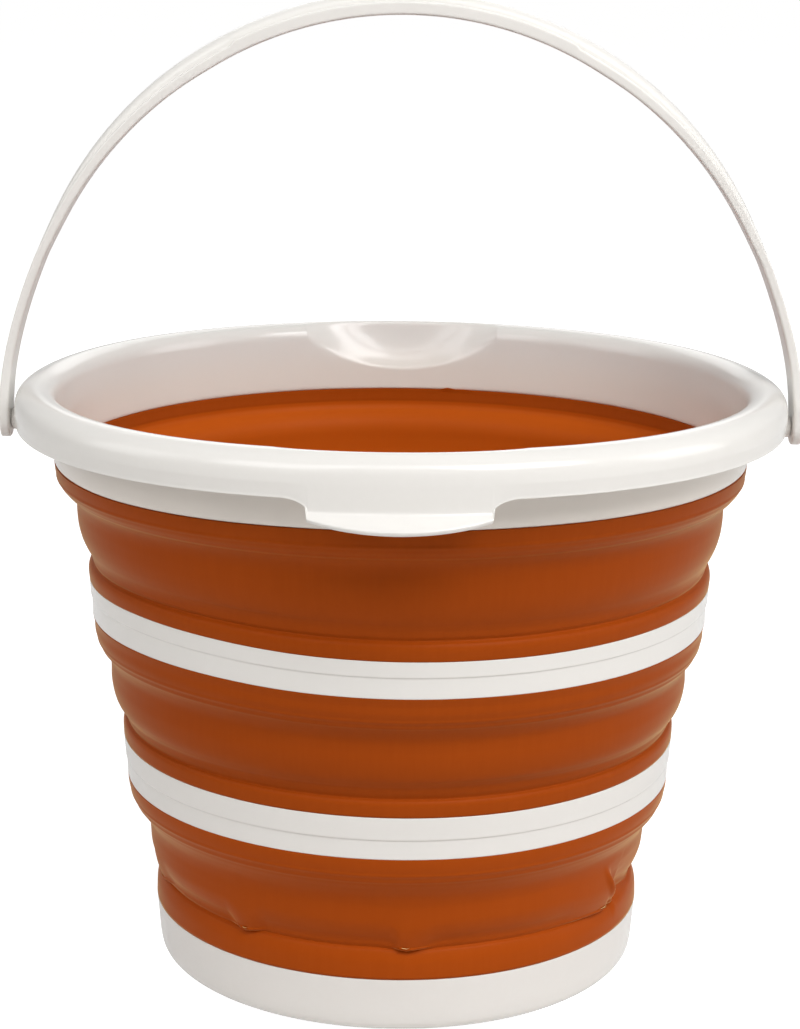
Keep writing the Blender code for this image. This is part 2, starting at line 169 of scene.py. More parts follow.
# How far each level stands above its place in the CAD model, in mm, since the soft walls in
# the photo did not open quite evenly: for each height, by angle from the side that faces the
# camera
LIFT_ANGLES = (-180, -130, -90, -52, -35, -15, 0, 20, 50, 77, 130, 180)
LIFTS = {
    0.0: (0.0, 0.0, 0.0, 0.0, 0.0, 0.0, 0.0, 0.0, 0.0, 0.0, 0.0, 0.0),
    BASE_TOP: (0.5, 0.5, 0.5, 0.5, 0.5, 0.5, 0.5, 0.5, 0.6, 0.7, 0.6, 0.5),
    LOWER_RING[0]: (0.9, 0.9, 0.9, 1.0, 1.0, 0.7, 0.5, 0.4, 0.8, 1.2, 1.0, 0.9),
    LOWER_RING[1]: (1.0, 1.0, 1.0, 1.3, 1.3, 1.0, 0.8, 0.7, 1.1, 1.6, 1.2, 1.0),
    UPPER_RING[0]: (0.8, 1.0, 1.4, 2.3, 2.0, 0.6, 0.0, -0.1, 0.0, 0.3, 0.6, 0.8),
    UPPER_RING[1]: (0.9, 1.1, 1.5, 3.0, 2.4, 0.6, -0.1, -0.3, 0.2, 0.7, 0.8, 0.9),
    RIM_BOTTOM: (0.8, 0.4, -0.2, -0.5, 0.1, 1.0, 1.4, 1.4, 0.9, 0.7, 0.8, 0.8),
    CROWN: (0.1, 0.5, 0.1, -0.3, 0.2, 1.0, 1.4, 1.4, 0.9, 0.7, 0.8, 0.1),
}
LIFT_WINDOW = 21


def lift_table():
    """The lifts at every whole degree, smoothed round the circle, in metres."""
    degrees = np.arange(-180, 180)
    window = np.hanning(LIFT_WINDOW)
    window /= window.sum()
    margin = LIFT_WINDOW // 2
    rows = []
    for lifts in LIFTS.values():
        plain = np.interp(degrees, LIFT_ANGLES, lifts)
        wrapped = np.concatenate([plain[-margin:], plain, plain[:margin]])
        rows.append(np.convolve(wrapped, window, mode="valid") * MM)
    return np.array(rows)


LIFT_HEIGHTS = np.array(list(LIFTS))
LIFT_TABLE = lift_table()


def settled(grid):
    """A grid of points lifted to where the unevenly opened walls hold it."""
    height = grid[..., 2]
    degrees = np.degrees(np.arctan2(grid[..., 0], -grid[..., 1])) + 180.0
    here = np.floor(degrees).astype(int) % 360
    beside = (here + 1) % 360
    part = degrees - np.floor(degrees)
    level = np.clip(np.searchsorted(LIFT_HEIGHTS, height) - 1, 0, len(LIFT_HEIGHTS) - 2)
    below, above = (LIFT_TABLE[row, here] * (1 - part) + LIFT_TABLE[row, beside] * part
                    for row in (level, level + 1))
    low, high = LIFT_HEIGHTS[level], LIFT_HEIGHTS[level + 1]
    share = np.clip((height - low) / (high - low), 0.0, 1.0)
    lifted = grid.copy()
    lifted[..., 2] += below * (1 - share) + above * share
    return lifted


def around(profiles, angles):
    """Rows of (radius, height) outlines placed at their angles; angle 0 faces the camera."""
    rows = []
    for profile, angle in zip(profiles, angles):
        radius, height = profile[:, 0], profile[:, 1]
        rows.append(np.stack([radius * math.sin(angle), -radius * math.cos(angle), height],
                             axis=1))
    return settled(np.array(rows))


# Materials

# For all materials: the roughness of their noise, and how far out a speck fades, as a multiple
# of its size
NOISE_ROUGHNESS = 0.55
SPECK_FADE = 1.6

# The plastic: two shades of its grain, a warmer colour painted where light of the orange wall
# behind it would shine through (painted light), its dust, and the roughness of the glossy
# pieces and of the handle
WHITE_GRAIN = ((0.772, 0.752, 0.718), (0.786, 0.767, 0.735))
WHITE_PAINTED_ORANGE_LIGHT = (0.805, 0.752, 0.690)
WHITE_DUST = (0.45, 0.38, 0.30)
GLOSSY = 0.18
SATIN = 0.34

# The rubber: two shades of its clouds on the outside, and two lighter shades painted on the
# inner side for the light that shines through the thin wall; its upright streaks and its dust,
# the tint of its sheen, and how much lighter the lowest wall is painted, as painted light from
# below
OUTER_ORANGE = ((0.305, 0.0480, 0.0020), (0.340, 0.0560, 0.0028))
INNER_ORANGE_PAINTED_SHINE = ((0.470, 0.0820, 0.0040), (0.520, 0.0940, 0.0060))
ORANGE_STREAK = (0.440, 0.0780, 0.0080)
STREAK_SCALE = (1, 1, 0.10)
ORANGE_DUST = (0.62, 0.34, 0.20)
SHEEN_TINT = (1.0, 0.84, 0.38, 1.0)
LOW_WALL_PAINTED_LIGHT = 1.12


def new_material(name):
    """A new material, its node tree and its shader."""
    made = bpy.data.materials.new(name)
    made.use_nodes = True
    return made, made.node_tree, made.node_tree.nodes["Principled BSDF"]


def set_inputs(made, inputs):
    """Set a node's own sockets, by name."""
    for key, value in inputs.items():
        made.inputs[key].default_value = value


def node(tree, kind, **inputs):
    """A new node with some of its sockets set."""
    made = tree.nodes.new(kind)
    set_inputs(made, inputs)
    return made


def attribute(tree, name):
    """The value that mark() stored on the mesh under a name."""
    made = tree.nodes.new("ShaderNodeAttribute")
    made.attribute_name = name
    return made.outputs["Fac"]


def noise(tree, coordinates, scale, detail=2.0):
    """Cloudy noise from 0 to 1."""
    made = node(tree, "ShaderNodeTexNoise", Scale=scale, Detail=detail,
                Roughness=NOISE_ROUGHNESS)
    tree.links.new(coordinates, made.inputs["Vector"])
    return made.outputs["Fac"]


def ranged(tree, value, low, high, out_low, out_high):
    """A value taken from one range to another and kept inside it."""
    made = tree.nodes.new("ShaderNodeMapRange")
    set_inputs(made, {"From Min": low, "From Max": high, "To Min": out_low, "To Max": out_high})
    tree.links.new(value, made.inputs["Value"])
    return made.outputs["Result"]


def mixed(tree, factor, first, second):
    """A colour between two, each a colour or a socket."""
    made = tree.nodes.new("ShaderNodeMix")
    made.data_type = "RGBA"
    tree.links.new(factor, made.inputs[0])
    for socket, value in ((made.inputs[6], first), (made.inputs[7], second)):
        if isinstance(value, tuple):
            socket.default_value = (*value, 1.0)
        else:
            tree.links.new(value, socket)
    return made.outputs[2]


def bump(tree, height, strength, distance, under=None):
    """The normal of a bump, laid over the normal of another one."""
    made = node(tree, "ShaderNodeBump", Strength=strength, Distance=distance)
    tree.links.new(height, made.inputs["Height"])
    if under is not None:
        tree.links.new(under, made.inputs["Normal"])
    return made.outputs["Normal"]


def stretched(tree, scale=(1, 1, 1)):
    """Object coordinates, scaled along each axis."""
    place = tree.nodes.new("ShaderNodeTexCoord")
    made = tree.nodes.new("ShaderNodeMapping")
    made.inputs["Scale"].default_value = scale
    tree.links.new(place.outputs["Object"], made.inputs["Vector"])
    return made.outputs["Vector"]


def specks(tree, coordinates, scale, size, share):
    """1 inside a few small round specks, 0 elsewhere."""
    cells = node(tree, "ShaderNodeTexVoronoi", Scale=scale)
    tree.links.new(coordinates, cells.inputs["Vector"])
    near = ranged(tree, cells.outputs["Distance"], size, size * SPECK_FADE, 1.0, 0.0)
    split = tree.nodes.new("ShaderNodeSeparateColor")
    tree.links.new(cells.outputs["Color"], split.inputs["Color"])
    chosen = tree.nodes.new("ShaderNodeMath")
    chosen.operation = "LESS_THAN"
    chosen.inputs[1].default_value = share
    tree.links.new(split.outputs[0], chosen.inputs[0])
    both = tree.nodes.new("ShaderNodeMath")
    both.operation = "MULTIPLY"
    tree.links.new(near, both.inputs[0])
    tree.links.new(chosen.outputs[0], both.inputs[1])
    return both.outputs[0]


def plastic(name, roughness):
    """Off-white polypropylene with a fine grain and a few dust specks, and painted warmer light
    where the mesh is marked, standing for light of the orange wall behind it shining through."""
    made, tree, shader = new_material(name)
    place = stretched(tree)
    base = mixed(tree, noise(tree, place, scale=420.0), *WHITE_GRAIN)
    # Painted light: a warmer colour where the mesh is marked 'glow', standing for light of the
    # orange wall shining through
    base = mixed(tree, attribute(tree, "glow"), base, WHITE_PAINTED_ORANGE_LIGHT)
    dust = specks(tree, place, scale=34.0, size=0.010, share=0.05)
    colour = mixed(tree, dust, base, WHITE_DUST)
    tree.links.new(colour, shader.inputs["Base Color"])
    set_inputs(shader, {"Roughness": roughness, "IOR": 1.49})
    grain = bump(tree, noise(tree, place, scale=900.0), strength=0.02, distance=0.00002)
    tree.links.new(grain, shader.inputs["Normal"])
    return made


def rubber(name, painted_light_scale=1.0):
    """Silky burnt-orange elastomer with faint streaks, dust and a grain, painted brighter on
    the inner side where light shines through the thin wall, and painted lighter overall by the
    given scale.
    """
    made, tree, shader = new_material(name)
    place = stretched(tree)
    cloud = noise(tree, place, scale=9.0)
    streak = noise(tree, stretched(tree, STREAK_SCALE), scale=420.0, detail=3.0)
    streak = ranged(tree, streak, low=0.35, high=0.75, out_low=0.0, out_high=0.12)
    # Painted light: the outer colours are scaled up for the lowest wall, standing for light
    # from below
    outer = mixed(tree, cloud, *(tuple(part * painted_light_scale for part in colour)
                                 for colour in OUTER_ORANGE))
    # Painted light: the inner side is brighter where the 'inside' mark says light shines
    # through the thin wall
    inner = mixed(tree, cloud, *INNER_ORANGE_PAINTED_SHINE)
    base = mixed(tree, streak, mixed(tree, attribute(tree, "inside"), outer, inner),
                 ORANGE_STREAK)
    dust = specks(tree, place, scale=40.0, size=0.012, share=0.06)
    colour = mixed(tree, dust, base, ORANGE_DUST)
    tree.links.new(colour, shader.inputs["Base Color"])
    set_inputs(shader, {"Roughness": 0.46, "IOR": 1.45, "Specular IOR Level": 0.06,
                        "Sheen Weight": 0.50, "Sheen Roughness": 0.30,
                        "Sheen Tint": SHEEN_TINT})
    ripple = bump(tree, noise(tree, place, scale=45.0), strength=0.10, distance=0.0010)
    grain = bump(tree, noise(tree, place, scale=1500.0), strength=0.08, distance=0.00008,
                 under=ripple)
    tree.links.new(grain, shader.inputs["Normal"])
    return made


# The turned rigid pieces

TURNED_SEGMENTS = 256

# The cup: its inner and outer radius at the top, its floor, and below it the recess and the
# flat of the foot ring. Its outline starts and ends a little off the axis. Then the number of
# steps in its straight stretches, and the length of a step in its curved ones.
AXIS_GAP = 0.0006
CUP_TOP = (0.1008, 0.1040)
CUP_FLOOR = 0.0048
CUP_FLOOR_RADIUS = 0.0900
RECESS_HEIGHT = 0.0022
RECESS_RADIUS = 0.0877
FOOT_RADII = (0.0887, 0.0965)
CUP_INSIDE = ((CUP_FLOOR_RADIUS, CUP_FLOOR), (0.0945, 0.0052), (0.0980, 0.0075),
              (0.0994, 0.0118), (CUP_TOP[0], BASE_TOP))
CUP_OUTSIDE = ((CUP_TOP[1], BASE_TOP), (0.1033, 0.0150), (0.1026, 0.0068), (0.1015, 0.0026),
               (0.0988, 0.0004), (FOOT_RADII[1], 0.0))
CUP_FLOOR_STEPS = 60
SEAM_STEPS = 7
FOOT_STEPS = 14
RECESS_STEPS = 5
INSIDE_STEP = 0.0006
OUTSIDE_STEP = 0.0005

# The bands: outer radius at the bottom and at the top, and the share of the height at which
# the fine step runs round. There the part above stands out and the part below is set back by
# these, with the step's height between them. Then the steps in each stretch of the outline.
LOWER_RING_RADII = (0.1159, 0.1173)
UPPER_RING_RADII = (0.1295, 0.1306)
LOWER_STEP = 0.47
UPPER_STEP = 0.58
STEP_OUT = 0.0001
STEP_IN = 0.0004
STEP_HEIGHT = 0.00035
RING_COUNTS = (22, 3, 22, 9, 30, 9)


def turned(name, profile, material, ring=True):
    """A turned piece: a ring from a closed outline, or a solid from an open one that starts
    and ends at the axis."""
    angles = [math.tau * i / TURNED_SEGMENTS for i in range(TURNED_SEGMENTS)]
    grid = around([profile] * TURNED_SEGMENTS, angles)
    if ring:
        return grid_piece(name, grid, material)
    return grid_piece(name, grid.transpose(1, 0, 2), material, capped=True)


def base_profile():
    """Outline of the base cup, from the middle of its floor up the inner side, over the seam,
    down the outer side and round the foot ring to the middle of the recess below."""
    recess_edge = (RECESS_RADIUS, RECESS_HEIGHT)
    line = np.vstack([
        straight((AXIS_GAP, CUP_FLOOR), (CUP_FLOOR_RADIUS, CUP_FLOOR), CUP_FLOOR_STEPS),
        spline(CUP_INSIDE, counts_for(CUP_INSIDE, INSIDE_STEP))[:-1],
        straight(CUP_INSIDE[-1], CUP_OUTSIDE[0], SEAM_STEPS),
        spline(CUP_OUTSIDE, counts_for(CUP_OUTSIDE, OUTSIDE_STEP))[:-1],
        straight(CUP_OUTSIDE[-1], (FOOT_RADII[0], 0.0), FOOT_STEPS),
        straight((FOOT_RADII[0], 0.0), recess_edge, RECESS_STEPS),
        straight(recess_edge, (AXIS_GAP, RECESS_HEIGHT), CUP_FLOOR_STEPS, last=True)])
    rounded = eased(line, 2)
    rounded[:2], rounded[-2:] = line[:2], line[-2:]
    return rounded


def ring_profile(heights, radii, step_share):
    """Outline of a rigid band whose upper part stands a little proud."""
    bottom, top = heights
    low_radius, high_radius = radii
    step_top = bottom + (top - bottom) * step_share
    step_radius = low_radius + (high_radius - low_radius) * step_share
    corners = ((high_radius, top), (step_radius + STEP_OUT, step_top),
               (step_radius - STEP_IN, step_top - STEP_HEIGHT), (low_radius, bottom),
               (low_radius - WALL, bottom), (high_radius - WALL, top))
    parts = [straight(corners[i], corners[(i + 1) % len(corners)], count)
             for i, count in enumerate(RING_COUNTS)]
    return eased(np.vstack(parts), 1)


# The folding walls

# Steps in each stretch of an outline, from the upper seam down
WALL_COUNTS = (7, 7, 7, 7, 7, 7, 7, 8, 8, 8, 8, 8, 7, 6, 6, 6, 4, 5, 6)

# How far from its upper and lower seam a wall keeps its full thickness, and over what length
# it then thins out
THICK_ENDS = (0.0048, 0.0036)
LOWER_THICK_ENDS = (0.0044, 0.0036)
THIN_OUT = (0.0070, 0.0040)

# The mark on the inner side for the painted light that shines through the thin wall: its value
# at the seams, and where past the thick ends it rises to 1
PAINTED_SHINE_LEAST = 0.15
PAINTED_SHINE_RISE = (0.0012, 0.0024)

# Outlines as (radius, height), from the upper seam to the crease above the hinge, then the
# hinge with the groove under it, then the lip down to the lower seam
UPPER_TOP = ((0.1442, 0.2160), (0.1439, 0.2128), (0.1434, 0.2102), (0.1425, 0.2078),
             (0.1409, 0.2058), (0.1384, 0.2035), (0.1364, 0.2008), (0.1354, 0.1975),
             (0.1352, 0.1930), (0.1347, 0.1880), (0.1336, 0.1835), (0.1321, 0.1798))
UPPER_HINGE = ((0.1306, 0.1770), (0.1297, 0.1748), (0.1292, 0.1727), (0.1286, 0.1712))
UPPER_LIP = ((0.1299, 0.1703), (0.1306, 0.1692), (0.1309, 0.1672), (0.1306, 0.1637))
MIDDLE_TOP = ((0.1295, 0.1485), (0.1288, 0.1452), (0.1286, 0.1418), (0.1277, 0.1388),
              (0.1263, 0.1358), (0.1240, 0.1326), (0.1224, 0.1292), (0.1221, 0.1252),
              (0.1221, 0.1205), (0.1214, 0.1158), (0.1203, 0.1124))
MIDDLE_HINGE = ((0.1187, 0.1097), (0.1173, 0.1077), (0.1165, 0.1056), (0.1156, 0.1034))
MIDDLE_LIP = ((0.1166, 0.1026), (0.1172, 0.1015), (0.1174, 0.1000), (0.1173, 0.0960))
LOWER_TOP = ((0.1159, 0.0785), (0.1156, 0.0752), (0.1149, 0.0722), (0.1137, 0.0692),
             (0.1120, 0.0664), (0.1098, 0.0634), (0.1078, 0.0600), (0.1067, 0.0562),
             (0.1064, 0.0522), (0.1061, 0.0480), (0.1053, 0.0450), (0.1042, 0.0424))

# Fine beads round the walls: height, half width, and how far they stand out
UPPER_BEADS = ((0.2096, 0.0013, 0.00032), (0.2050, 0.0012, 0.00022))
MIDDLE_BEADS = ((0.1385, 0.0012, 0.00030), (0.1358, 0.0011, 0.00022))
LOWER_BEADS = ((0.0712, 0.0012, 0.00030), (0.0681, 0.0012, 0.00022))

# A soft wave in the crease: its height, then its middle and width in degrees
UPPER_WAVE = (0.0007, -24, 15)
MIDDLE_WAVE = (0.0005, 20, 22)

# The nib at the rear of the rim's seam: angle, width in degrees and share of its two tips,
# how many points of the outline's end it moves, and how far up and in it moves them
NIB_TIPS = ((171.0, 1.1, 1.0), (168.0, 1.6, 0.4))
NIB_POINTS = 3
NIB_UP = 0.0010
NIB_IN = 0.0006

# Steps round the bucket, in degrees: of the walls, and in their stretches of fine relief
LOWER_TURN = 1.25
OTHER_TURN = 1.5
FINE_TURN = 0.5
LOWER_FINE = ((-42.0, -29.0), (-3.0, 11.0), (52.0, 68.0))
UPPER_FINE = ((165.0, 174.0),)


def turned_by(angle, middle):
    """Degrees from a middle to an angle, the short way round."""
    return (angle - middle + 180) % 360 - 180


def bead(height, middle, half_width, size):
    """How far a bead stands out at a height."""
    share = np.clip(1 - np.abs(height - middle) / half_width, 0.0, 1.0)
    return size * share * share * (3 - 2 * share)


def waved(hinge, wave, angle):
    """A hinge at an angle, with its upper two points raised by the wave."""
    size, middle, width = wave
    rise = size * math.exp(-((angle - middle) / width) ** 2)
    return [(radius, height + rise) for radius, height in hinge[:2]] + list(hinge[2:])


def wall_profile(points, beads, thick_ends):
    """Closed outline of a folding wall, as (radius, height, painted light that shines through),
    from the points of its outer side, the beads on it and the lengths of its thick ends."""
    outer = spline(points, WALL_COUNTS[:len(points) - 1])
    raised = outer.copy()
    for middle, half_width, size in beads:
        raised[:, 0] += bead(outer[:, 1], middle, half_width, size)
    top, bottom = outer[0, 1], outer[-1, 1]
    thick, painted_shine = 0.0, 1.0
    for distance, end, fade in zip((top - outer[:, 1], outer[:, 1] - bottom), thick_ends,
                                   THIN_OUT):
        thick = np.maximum(thick, 1 - ease(distance, end, end + fade))
        # Painted light that shines through: weakest at the thick ends, full where the wall is
        # thin
        painted_shine = painted_shine * ease(distance, end + PAINTED_SHINE_RISE[0], end + PAINTED_SHINE_RISE[1])
    inner = offset(outer, THIN_WALL + (WALL - THIN_WALL) * thick)
    inner[0, 1], inner[-1, 1] = top, bottom
    painted_shine = PAINTED_SHINE_LEAST + (1 - PAINTED_SHINE_LEAST) * painted_shine[::-1]
    painted_shine = np.concatenate([np.zeros(len(outer)), painted_shine])
    return np.column_stack([np.vstack([raised, inner[::-1]]), painted_shine])


def upper_section(angle):
    """Outline of the upper wall at an angle, with the nib at its upper seam."""
    points = [*UPPER_TOP, *waved(UPPER_HINGE, UPPER_WAVE, angle), *UPPER_LIP]
    outline = wall_profile(points, UPPER_BEADS, THICK_ENDS)
    nib = sum(share * math.exp(-(turned_by(angle, middle) / width) ** 2)
              for middle, width, share in NIB_TIPS)
    outline[-NIB_POINTS:, 1] += NIB_UP * nib
    outline[-NIB_POINTS:, 0] -= NIB_IN * nib
    return outline


def middle_section(angle):
    """Outline of the middle wall at an angle."""
    points = [*MIDDLE_TOP, *waved(MIDDLE_HINGE, MIDDLE_WAVE, angle), *MIDDLE_LIP]
    return wall_profile(points, MIDDLE_BEADS, THICK_ENDS)


# The lowest wall

# Its buckles: angle in degrees from the side that faces the camera, and how far the hinge takes
# to open again to the left and to the right of it. Up to the pinch it is fully shut.
KINKS = ((-147.0, 5.0, 6.0), (-110.0, 6.0, 4.0), (-73.0, 4.0, 7.0), (-36.0, 5.5, 6.0),
         (2.0, 3.5, 8.0), (56.0, 17.0, 4.0), (118.0, 6.0, 7.0), (152.0, 5.0, 6.0))
PINCH = 0.6

# Height of the groove under the hinge by angle, in mm
GROOVE_ANGLES = (-50.0, -38.0, -36.0, -31.0, -4.0, 0.0, 2.5, 6.0, 12.0, 22.0, 38.0, 50.0, 58.0)
GROOVE_HEIGHTS = (35.6, 35.2, 34.6, 36.0, 35.9, 35.3, 34.7, 35.1, 35.7, 35.9, 35.2, 34.5, 34.2)

# How high the crease stands above the groove, shut and by how much more when open; where the
# crease is in LOWER_TOP, and below what height the wall moves with it
CREASE_SHUT = 0.0008
CREASE_OPENS = 0.0040
CREASE_AT_REST = 0.0402
MOVES_BELOW = 0.0600

# The hinge from the crease to the groove: radius, how far it comes out where the hinge is shut,
# and the share of the crease in its height
LOWER_HINGE = ((0.1029, 0.0003, 1.0), (0.1021, 0.0009, 0.64), (0.1017, 0.0009, 0.30),
               (0.1011, 0.0005, 0.0))

# The lip: radius and fall below the groove of two points, then radius and share of the way up
# from the seam to the groove of a third
LOWER_LIP_START = ((0.1019, 0.0007), (0.1026, 0.0019))
LOWER_LIP_MIDDLE = (0.1037, 0.54)

# The edge that stands out where the hinge is shut: by how much, at what height above the
# groove, and how wide it is
EDGE_OUT = 0.0006
EDGE_ABOVE = 0.0011
EDGE_WIDTH = 0.0005

# The sharp upright fold: its angle at the height of its foot, and how far it leans to the left
# over what height. The ridge has a height and a width in degrees, and the hollow on its right a
# depth and the angles over which it starts and ends. Both fade in and out between heights.
RIDGE_ANGLE = 60.3
RIDGE_FOOT = 0.036
RIDGE_LEAN = (4.6, 0.014)
RIDGE_OUT = 0.0016
RIDGE_WIDTH = 0.85
HOLLOW_DEPTH = 0.0019
HOLLOW_START = (0.3, 2.2)
HOLLOW_END = (6.0, 34.0)
RIDGE_STARTS = (0.0330, 0.0365)
RIDGE_ENDS = (0.0470, 0.0570)

# How far the groove is pushed up on the right of the fold, over what angles that rises, and in
# what shares and over what angles it falls again
PUSH_UP = 0.0038
PUSH_RISE = (0.2, 2.2)
PUSH_FALLS = ((0.88, 2.0, 17.0), (0.12, 17.0, 50.0))


def hinge_open(angle):
    """0 at a buckle, where the hinge is pinched shut, and 1 between two buckles."""
    least = 1.0
    for middle, left, right in KINKS:
        past = turned_by(angle, middle)
        least = min(least, float(ease(abs(past), PINCH, left if past < 0 else right)))
    return least


def beside_ridge(angle):
    """Share by which the groove is pushed up on the right of the sharp upright fold."""
    past = turned_by(angle, RIDGE_ANGLE)
    kept = 1.0
    for share, start, end in PUSH_FALLS:
        kept -= share * float(ease(past, start, end))
    return float(ease(past, *PUSH_RISE)) * kept


def ridge_relief(angle, height):
    """The upright fold: a crisp ridge that leans left as it rises, and a hollow beside it."""
    degrees, climb = RIDGE_LEAN
    across = turned_by(angle, RIDGE_ANGLE) + (height - RIDGE_FOOT) / climb * degrees
    tall = ease(height, *RIDGE_STARTS) * (1 - ease(height, *RIDGE_ENDS))
    ridge = RIDGE_OUT * np.exp(-(across / RIDGE_WIDTH) ** 2)
    hollow = HOLLOW_DEPTH * ease(across, *HOLLOW_START) * (1 - ease(across, *HOLLOW_END))
    return (ridge - hollow) * tall


def lower_section(angle):
    """Outline of the lowest wall at an angle, with its buckled hinge."""
    is_open = hinge_open(angle)
    shut = 1 - is_open
    groove = float(np.interp(angle, GROOVE_ANGLES, GROOVE_HEIGHTS)) * MM
    groove += PUSH_UP * beside_ridge(angle)
    crease = groove + CREASE_SHUT + CREASE_OPENS * is_open
    points = []
    for radius, height in LOWER_TOP:
        if height < MOVES_BELOW:
            share = (height - CREASE_AT_REST) / (MOVES_BELOW - CREASE_AT_REST)
            height = crease + share * (MOVES_BELOW - crease)
        points.append((radius, height))
    points += [(radius + out * shut, crease * share + groove * (1 - share))
               for radius, out, share in LOWER_HINGE]
    points += [(radius, groove - fall) for radius, fall in LOWER_LIP_START]
    radius, share = LOWER_LIP_MIDDLE
    points += [(radius, BASE_TOP + (groove - BASE_TOP) * share), (CUP_TOP[1], BASE_TOP)]
    outline = wall_profile(points, LOWER_BEADS, LOWER_THICK_ENDS)
    above = outline[:, 1] - groove - EDGE_ABOVE
    edge = EDGE_OUT * shut * np.exp(-(above / EDGE_WIDTH) ** 2)
    outline[:, 0] += ridge_relief(angle, outline[:, 1]) + edge
    return outline


def fold_wall(name, section, material, turn, fine=()):
    """A folding wall whose outline changes round the bucket, with closer rows in the fine
    stretches."""
    angles = set(np.round(np.arange(-180.0, 180.0, turn), 3))
    for start, end in fine:
        for extra in np.arange(start, end, FINE_TURN):
            angles.add(round(turned_by(extra, 0.0), 3))
    angles = sorted(angles)
    profiles = [section(angle) for angle in angles]
    piece = grid_piece(name, around(profiles, np.radians(angles)), material)
    # The 'inside' mark carries the painted light that shines through the thin wall
    mark(piece, "inside", np.array([profile[:, 2] for profile in profiles]))
    return piece


# The rim

SEAM_RADIUS = 0.1442
CROWN_RADIUS = 0.1502
SKIRT_RADIUS = 0.1600
SKIRT_TOP = 0.2368
SKIRT_BOTTOM = 0.2307
SKIRT_LOW_RADIUS = 0.1594
SHELL = 0.0022
INNER_STEPS = 20
CROWN_STEPS = 22
SKIRT_STEPS = 18
LIP_STEPS = 12
EDGE_STEPS = 6

# From the crown to the skirt: a point this far out from the crest, then fixed ones
CREST_RUN = 0.0028
CREST_RUN_HEIGHT = 0.24690
SHOULDER = ((0.15580, 0.24560), (0.15790, 0.24400), (0.15915, 0.24220), (0.15980, 0.23990),
            (SKIRT_RADIUS, SKIRT_TOP))
SHOULDER_COUNTS = (5, 5, 5, 6, 5, 4)

# The skirt hangs lower at the grip tabs and at the ears. Lengths are along its edge, from the
# middle of the tab or of the ear.
TAB_HALF = 0.0334
TAB_FILLET = 0.0110
TAB_HANG = 0.0055
EAR_HALF = 0.0062
EAR_FADE = 0.0052
EAR_HANG = 0.0071

# The lip of a grip tab: how far it reaches out and drops in the middle, what share of each it
# has lost at the tab's sides, and where past these it ends
LIP_REACH = 0.0076
LIP_DROP = 0.0040
LIP_LOSSES = (0.67, 0.70)
LIP_SIDE = (-0.0002, 0.0012)

# The lip starts this far above the skirt's edge. The corner of its bend is this far above the
# edge, less a share of the drop, and out by a share of the reach. Its edge is thicker.
LIP_ABOVE = 0.0012
LIP_BEND_ABOVE = 0.0006
LIP_BEND_DROP = 0.38
LIP_BEND_REACH = 0.20
LIP_THICKER = 0.0003

# A small dimple in the middle of the lip: depth, half length along the edge, and its place and
# half width as shares of the lip
DIMPLE_DEPTH = 0.0005
DIMPLE_HALF = 0.0042
DIMPLE_PLACE = 0.62
DIMPLE_WIDTH = 0.16

# The pour scoops: half their angle, how much lower the inner wall turns outward in them, and
# how far they push the crest out. Elsewhere the wall turns this far below the crown, and leans
# out by this much up to there.
SCOOP_HALF = math.radians(18)
SCOOP_DEPTH = 0.0130
CREST_PUSH = 0.0012
TURN_BELOW = 0.0084
WALL_LEAN = 0.0020

# The knee of the bend from the turn up to the crest. Beside the scoops it is right above the
# turn, the least share of the way down from the crown. In the middle of a scoop it is the
# greatest share of the way across and down.
KNEE_LEAST = 0.15
KNEE_MOST = 0.72
KNEE_POWER = 0.7

# Degrees from the ear at 0 to the tab at 90, with the steps in each stretch
RIM_STRETCHES = ((0.0, 5.0, 14), (5.0, 71.0, 36), (71.0, 73.0, 8), (73.0, 74.0, 3),
                 (74.0, 77.6, 20), (77.6, 78.6, 10), (78.6, 90.0, 20))

# Radii and heights over which the painted light of the orange wall behind the plastic fades
PAINTED_LIGHT_RADII = (0.1470, 0.1560)
PAINTED_LIGHT_HEIGHTS = (0.2220, 0.2420)


def tab_hang(distance):
    """Share of the tab's hang at a distance from its middle, with a fillet at its side."""
    if distance <= TAB_HALF:
        return 1.0
    share = (TAB_HALF + TAB_FILLET - distance) / TAB_FILLET
    return 0.0 if share <= 0.0 else 1 - math.sqrt(max(1 - share * share, 0.0))


def ear_hang(distance):
    """Share of the ear's hang at a distance from its middle."""
    return 0.5 * (1 + math.cos(math.pi * min(max((distance - EAR_HALF) / EAR_FADE, 0.0), 1.0)))


def lip_shares(distance):
    """Shares of the lip's reach and drop at a distance from the middle of the tab."""
    out = min(distance / TAB_HALF, 1.0) ** 2
    side = 1 - float(ease(distance, TAB_HALF + LIP_SIDE[0], TAB_HALF + LIP_SIDE[1]))
    return [(1 - loss * out) * side for loss in LIP_LOSSES]


def rim_mouth(hollow):
    """The inner wall and the crown at a place where the scoop has a share of its depth."""
    seam_inner = SEAM_RADIUS - WALL
    plain_turn = CROWN - TURN_BELOW
    turn_height = plain_turn - SCOOP_DEPTH * hollow
    lean = WALL_LEAN * (turn_height - RIM_BOTTOM) / (plain_turn - RIM_BOTTOM)
    turn = (seam_inner + lean, turn_height)
    crest = (CROWN_RADIUS + CREST_PUSH * hollow, CROWN)
    deepened = hollow ** KNEE_POWER
    low = KNEE_LEAST + (KNEE_MOST - KNEE_LEAST) * deepened
    knee = (turn[0] + (crest[0] - turn[0]) * KNEE_MOST * deepened,
            CROWN - (CROWN - turn_height) * low)
    shoulder = [crest, (crest[0] + CREST_RUN, CREST_RUN_HEIGHT), *SHOULDER]
    return (straight((seam_inner, RIM_BOTTOM), turn, INNER_STEPS),
            bend(turn, knee, crest, CROWN_STEPS), spline(shoulder, SHOULDER_COUNTS)[:-1])


